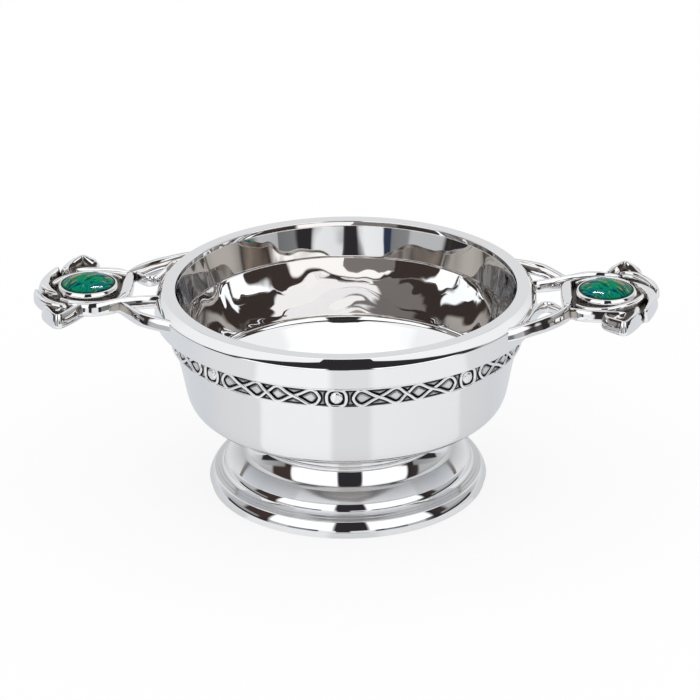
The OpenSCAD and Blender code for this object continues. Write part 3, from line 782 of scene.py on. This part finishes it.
# What is mirrored more than once, as inside the bowl, is a plainer room: light on one side, a lit patch
# in front
innerRoom = dict(
    sides=[(-180, cream), (-67, cream), (-63, brown), (62, brown), (67, umber), (138, umber),
           (146, cream), (180, cream)],
    top=[(-180, cream), (10, cream), (13, umber), (138, umber), (146, cream), (180, cream)],
    low=[(-180, 0.3), (-150, 0.08), (-128, 0.4), (-112, 0.06), (-100, 0.3), (-88, umber), (-78, black),
         (-70, 0.34), (-60, brown), (-50, umber), (-40, 0.05), (-33, 0.3), (-26, 0.36), (-14, 0.42),
         (-5, 0.45), (5, 0.45), (14, 0.42), (24, 0.36), (34, 0.07), (42, 0.3), (52, 0.05), (62, umber),
         (72, 0.07), (82, 0.32), (94, brown), (106, 0.3), (120, 0.08), (150, 0.3), (180, 0.3)],
    lowTint=(1.12, 1.02, 0.90), lowTop=(28, 32), topFrom=(68, 71),
    patch=dict(up=(39, 41), last=(52, 54), around=(30, 34), colour=(1.3, 1.3, 1.28)))


def roomColour(tree, share, away, up, axes):
    room = studio
    low, panels, upper = [aroundRamp(tree, share, room[key]) for key in ("low", "panels", "upper")]
    colour = tree.mix(tree.ease(up, *room["lowTop"]), low, panels)
    # a dark edge along the horizon at the sides
    horizon = room["horizon"]
    edge = tree.math("MULTIPLY", tree.ease(away, *horizon["around"]), tree.upTo(away, *horizon["last"]))
    edge = tree.math("MULTIPLY", edge, tree.upTo(up, *horizon["up"]))
    colour = tree.mix(edge, colour, black)
    # the top edge of the panels droops towards the sides: level - droop away^2
    slot, hood = room["slot"], room["hood"]
    soft = slot["soft"]
    droop = tree.math("MULTIPLY", tree.math("MULTIPLY", away, away), slot["droop"])
    above = tree.math("SUBTRACT", up, tree.math("SUBTRACT", slot["level"], droop))
    overPanels = tree.ease(above, -soft, soft)
    colour = tree.mix(overPanels, colour, upper)
    colour = tree.mix(tree.ease(up, *room["zenithFrom"]), colour, room["zenith"])
    # the slot stands on the panels, slopes down to nothing at the sides and is taller over the camera
    top = tree.math("SUBTRACT", 1.0, tree.math("DIVIDE", away, slot["side"]))
    top = tree.math("MULTIPLY", top, slot["height"])
    aside = tree.math("SUBTRACT", share, 0.5 - hood["shift"] / 360)
    aside = tree.math("MULTIPLY", tree.math("ABSOLUTE", aside), 360)
    top = tree.math("ADD", top, tree.math("MULTIPLY", tree.upTo(aside, *hood["around"]), hood["rise"]))
    underTop = tree.ease(tree.math("SUBTRACT", top, above), -soft, soft)
    colour = tree.mix(tree.math("MULTIPLY", overPanels, underTop), colour, black)
    # a greyer band of ceiling at the back
    ceiling = room["ceiling"]
    band = tree.math("MULTIPLY", tree.ease(up, *ceiling["up"]), tree.upTo(up, *ceiling["last"]))
    band = tree.math("MULTIPLY", band, tree.ease(axes["Y"], *ceiling["back"]))
    return tree.mix(band, colour, ceiling["colour"])


def innerColour(tree, share, away, up):
    room = innerRoom
    sides, top, low = [aroundRamp(tree, share, room[key]) for key in ("sides", "top", "low")]
    patch = room["patch"]
    lit = tree.math("MULTIPLY", tree.ease(up, *patch["up"]), tree.upTo(up, *patch["last"]))
    lit = tree.math("MULTIPLY", lit, tree.upTo(away, *patch["around"]))
    colour = tree.mix(lit, sides, patch["colour"])
    colour = tree.mix(tree.ease(up, *room["topFrom"]), colour, top)
    warmed = tree.mix(1, low, room["lowTint"], "MULTIPLY")
    return tree.mix(tree.ease(up, *room["lowTop"]), warmed, colour)


def makeStudio():
    world = bpy.data.worlds.new("studio")
    scene.world = world
    tree = ShaderTree(world)
    share, axes = azimuthShare(tree, tree.add("TexCoord").outputs["Generated"], studio["turn"])
    away = tree.math("MULTIPLY", tree.math("ABSOLUTE", tree.math("SUBTRACT", share, 0.5)), 360)
    up = tree.math("MULTIPLY", tree.math("ARCSINE", axes["Z"]), 180 / np.pi)
    path = tree.add("LightPath").outputs
    twice = tree.math("GREATER_THAN", path["Glossy Depth"], 1.5)
    mirrored = tree.mix(twice, roomColour(tree, share, away, up, axes), innerColour(tree, share, away, up))
    # the eye and the floor see plain white, the metal sees the room
    lit = tree.mix(path["Is Diffuse Ray"], mirrored, studio["diffuse"])
    seen = tree.mix(path["Is Camera Ray"], lit, (1.0, 1.0, 1.0))
    tree.put(tree.nodes["Background"], Color=seen, Strength=1)
    scene.cycles.max_bounces = studio["bounces"]
    scene.cycles.glossy_bounces = studio["glossyBounces"]
    print("studio ready")


makeStudio()


# Strip lamps behind the cup, one for the small highlight on each stone, in metres
lamp = dict(ends=[(-0.026, 0.112, 0.274), (0.055, 0.062, 0.314)], width=0.010, power=1.7)


def makeLamp(side, name):
    ends = [Vector((side * x, y, z)) for x, y, z in lamp["ends"]]
    data = bpy.data.lights.new("lamp" + name, "AREA")
    data.shape = "RECTANGLE"
    data.size, data.size_y = (ends[1] - ends[0]).length, lamp["width"]
    data.energy = lamp["power"]
    light = bpy.data.objects.new("lamp" + name, data)
    # long side along the two ends, facing the stone
    middle = (ends[0] + ends[1]) / 2
    along = (ends[1] - ends[0]).normalized()
    back = middle - Vector((side * lug["stoneX"] * mm, 0, stone["girdle"] * mm))
    back = (back - back.dot(along) * along).normalized()
    axes = Matrix((along, back.cross(along), back)).transposed()
    light.matrix_world = Matrix.Translation(middle) @ axes.to_4x4()
    light.visible_diffuse = False
    scene.collection.objects.link(light)
    lit = bpy.data.collections.new("litByLamp" + name)
    lit.objects.link(bpy.data.objects["stone" + name])
    light.light_linking.receiver_collection = lit


makeLamp(1, "Right")
makeLamp(-1, "Left")
print("lamps ready")


# Camera: fitted to the ellipses of the lip and the foot, its focal length in pixels of a square frame
view = dict(distance=900, elevation=24.03, azimuth=3.3, aside=0.96, height=41.01, focal=3080.7,
            roll=-0.0103, frame=700, sensor=36, clipEnd=20)


def makeCamera():
    v = view
    e, a = np.radians(v["elevation"]), np.radians(v["azimuth"])
    right = np.array([np.cos(a), np.sin(a), 0])
    back = np.array([np.sin(a) * np.cos(e), -np.cos(a) * np.cos(e), np.sin(e)])
    up = np.cross(back, right)
    target = v["aside"] * right + np.array([0, 0, v["height"]])
    c, s = np.cos(v["roll"]), np.sin(v["roll"])
    place = np.eye(4)
    place[:3, :3] = np.stack([c * right + s * up, c * up - s * right, back], -1)
    place[:3, 3] = (target + v["distance"] * back) * mm
    data = bpy.data.cameras.new("camera")
    data.sensor_width = v["sensor"]
    data.lens = v["focal"] * v["sensor"] / v["frame"]
    data.clip_end = v["clipEnd"]
    camera = bpy.data.objects.new("camera", data)
    camera.matrix_world = Matrix(place.tolist())
    scene.collection.objects.link(camera)
    scene.camera = camera
    print("camera ready")


makeCamera()
scene.view_settings.view_transform = "Standard"
